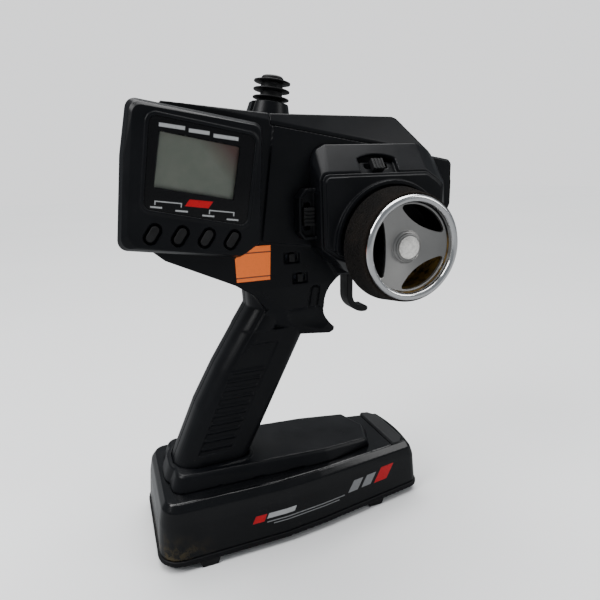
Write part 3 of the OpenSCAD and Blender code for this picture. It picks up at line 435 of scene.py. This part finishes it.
def soften(name, voxel, passes=3, keep=1.0):
    """Rounds a CAD node's edges as a mould does: remesh finely, relax, then thin the mesh out."""
    node = NODES[name]
    weld = node.modifiers.new("weld", "WELD")
    weld.merge_threshold = WELD_GAP
    remesh = node.modifiers.new("remesh", "REMESH")
    remesh.mode = "VOXEL"
    remesh.voxel_size = voxel * 1
    remesh.use_smooth_shade = True
    relax = node.modifiers.new("relax", "SMOOTH")
    relax.factor = 0.5
    relax.iterations = passes
    if keep < 1:
        thin = node.modifiers.new("thin", "DECIMATE")
        thin.ratio = keep
    normals = node.modifiers.new("normals", "WEIGHTED_NORMAL")
    normals.keep_sharp = False


SOFT_EDGES = {   # node: (voxel, relaxing passes, share of the faces kept)
    "base_shell": (0.6 * MM, 5, 0.4),
    "base_bottom": (0.5 * MM, 3, 0.4),
    "battery_door": (0.5 * MM, 2, 0.4),
    "deck_block": (0.5 * MM, 4, 0.4),
    "front_pad": (0.3 * MM, 3, 0.5),
    "case_right": (0.45 * MM, 3, 0.4),
    "case_left": (0.45 * MM, 3, 0.4),
    "top_cover": (0.45 * MM, 3, 0.4),
    "display_pod": (0.35 * MM, 3, 0.4),
    "pod_back": (0.5 * MM, 2, 0.5),
    "wheel_housing": (0.4 * MM, 3, 0.5),
    "housing_plate": (0.35 * MM, 3, 0.5),
    "antenna_collar": (0.3 * MM, 3, 0.5),
    "antenna_boot": (0.2 * MM, 2, 0.5),
    "rubber_feet": (0.3 * MM, 3, 0.5),
    "trigger": (0.25 * MM, 4, 1.0),
    "wheel_core": (0.35 * MM, 2, 0.5),
    "wheel_spokes": (0.2 * MM, 3, 0.5),
    "hub_cap": (0.15 * MM, 3, 0.5),
    "steering_trim": (0.14 * MM, 3, 0.6),
    "throttle_trim": (0.14 * MM, 3, 0.6),
    "upper_switch": (0.14 * MM, 3, 0.6),
    "lower_switch": (0.14 * MM, 3, 0.6),
    "power_switch": (0.16 * MM, 3, 0.6),
    "menu_button_1": (0.16 * MM, 4, 0.6),
    "menu_button_2": (0.16 * MM, 4, 0.6),
    "menu_button_3": (0.16 * MM, 4, 0.6),
    "menu_button_4": (0.16 * MM, 4, 0.6),
}


def soften_nodes():
    """Rounds the edges of every node that is listed above."""
    for name, settings in SOFT_EDGES.items():
        soften(name, *settings)


# ---------------------------------------------------------------- floor, light and camera

FLOOR_SIZE = 8
FLOOR_COLOUR = (0.86, 0.865, 0.87)
FLOOR_GLEAM = (0.2, 0.205, 0.21)   # what gloss sees of the floor, as if the table ended close by


def floor():
    """A plain pale floor, which looks dimmer in reflections than to the camera."""
    s = Shader("pale_floor")
    rays = s.add("ShaderNodeLightPath")
    cloth = s.noise(0.4, 3, 0.5)
    pale = s.mix(s.ramp(cloth, 0.3, 0.7, 0, 0.3), FLOOR_COLOUR, [c * 0.9 for c in FLOOR_COLOUR])
    colour = s.mix(rays.outputs["Is Glossy Ray"], pale, FLOOR_GLEAM)
    bpy.ops.mesh.primitive_plane_add(size=FLOOR_SIZE)
    ground = bpy.context.object
    ground.name = "floor"
    ground.data.materials.append(s.finish(base_color=colour, roughness=0.85))


def lamp(name, kind, place, target, watts):
    """A light that points at its target."""
    light = bpy.data.lights.new(name, kind)
    light.energy = watts
    holder = bpy.data.objects.new(name, light)
    holder.location = place
    holder.rotation_euler = (Vector(target) - Vector(place)).to_track_quat("-Z", "Y").to_euler()
    bpy.context.scene.collection.objects.link(holder)
    return light


def softbox(name, place, target, size, watts):
    """A rectangular panel of light."""
    light = lamp(name, "AREA", place, target, watts)
    light.shape = "RECTANGLE"
    light.size, light.size_y = size


ROOM_COLOUR = (0.9, 0.95, 1, 1)
ROOM_LIGHT = 0.24
BACKDROP_COLOUR = (0.98, 0.985, 1, 1)
BACKDROP_LIGHT = 1.4
SKYLIGHT = 4.6
SKYLIGHT_SPREAD = math.radians(60)
AIM = (0, 0, 0.13)   # the middle of the object, which every light points at


def studio():
    """A white room behind the object for the camera, and a dim one with lit panels for its gloss."""
    world = bpy.data.worlds.new("studio")
    bpy.context.scene.world = world
    world.use_nodes = True
    tree = world.node_tree
    room = tree.nodes["Background"]
    room.inputs["Color"].default_value = ROOM_COLOUR
    room.inputs["Strength"].default_value = ROOM_LIGHT
    backdrop = tree.nodes.new("ShaderNodeBackground")
    backdrop.inputs["Color"].default_value = BACKDROP_COLOUR
    backdrop.inputs["Strength"].default_value = BACKDROP_LIGHT
    rays = tree.nodes.new("ShaderNodeLightPath")
    choice = tree.nodes.new("ShaderNodeMixShader")
    tree.links.new(rays.outputs["Is Camera Ray"], choice.inputs[0])
    tree.links.new(room.outputs[0], choice.inputs[1])
    tree.links.new(backdrop.outputs[0], choice.inputs[2])
    tree.links.new(choice.outputs[0], tree.nodes["World Output"].inputs["Surface"])
    softbox("key", (-0.75, -0.15, 0.85), AIM, (0.35, 0.6), 7)
    softbox("side", (0.8, -0.6, 0.7), AIM, (0.3, 0.7), 3)
    skylight = lamp("skylight", "SUN", (0.1, 0.25, 1.2), AIM, SKYLIGHT)
    skylight.angle = SKYLIGHT_SPREAD


CAMERA_PLACE = Vector((-99.9, -264.85, 213)) * MM
CAMERA_YAW = math.radians(20.9)
CAMERA_PITCH = math.radians(14.7)
CAMERA_ROLL = math.radians(1.4)
CAMERA_LENS = 30   # mm
NEAR_CLIP = 0.01


def camera():
    """A view from the right and slightly behind: turned right of +Y, pitched down, a slight roll."""
    level_right = Vector((math.cos(CAMERA_YAW), -math.sin(CAMERA_YAW), 0))
    level_ahead = Vector((math.sin(CAMERA_YAW), math.cos(CAMERA_YAW), 0))
    ahead = level_ahead * math.cos(CAMERA_PITCH) - UP * math.sin(CAMERA_PITCH)
    down = -UP * math.cos(CAMERA_PITCH) - level_ahead * math.sin(CAMERA_PITCH)
    right = level_right * math.cos(CAMERA_ROLL) + down * math.sin(CAMERA_ROLL)
    down = down * math.cos(CAMERA_ROLL) - level_right * math.sin(CAMERA_ROLL)
    data = bpy.data.cameras.new("camera")
    data.lens = CAMERA_LENS
    data.clip_start = NEAR_CLIP
    rig = bpy.data.objects.new("camera", data)
    turn = Matrix((right, -down, -ahead)).transposed()
    rig.matrix_world = Matrix.Translation(CAMERA_PLACE) @ turn.to_4x4()
    bpy.context.scene.collection.objects.link(rig)
    bpy.context.scene.camera = rig


finish_nodes()
soften_nodes()
floor()
studio()
camera()
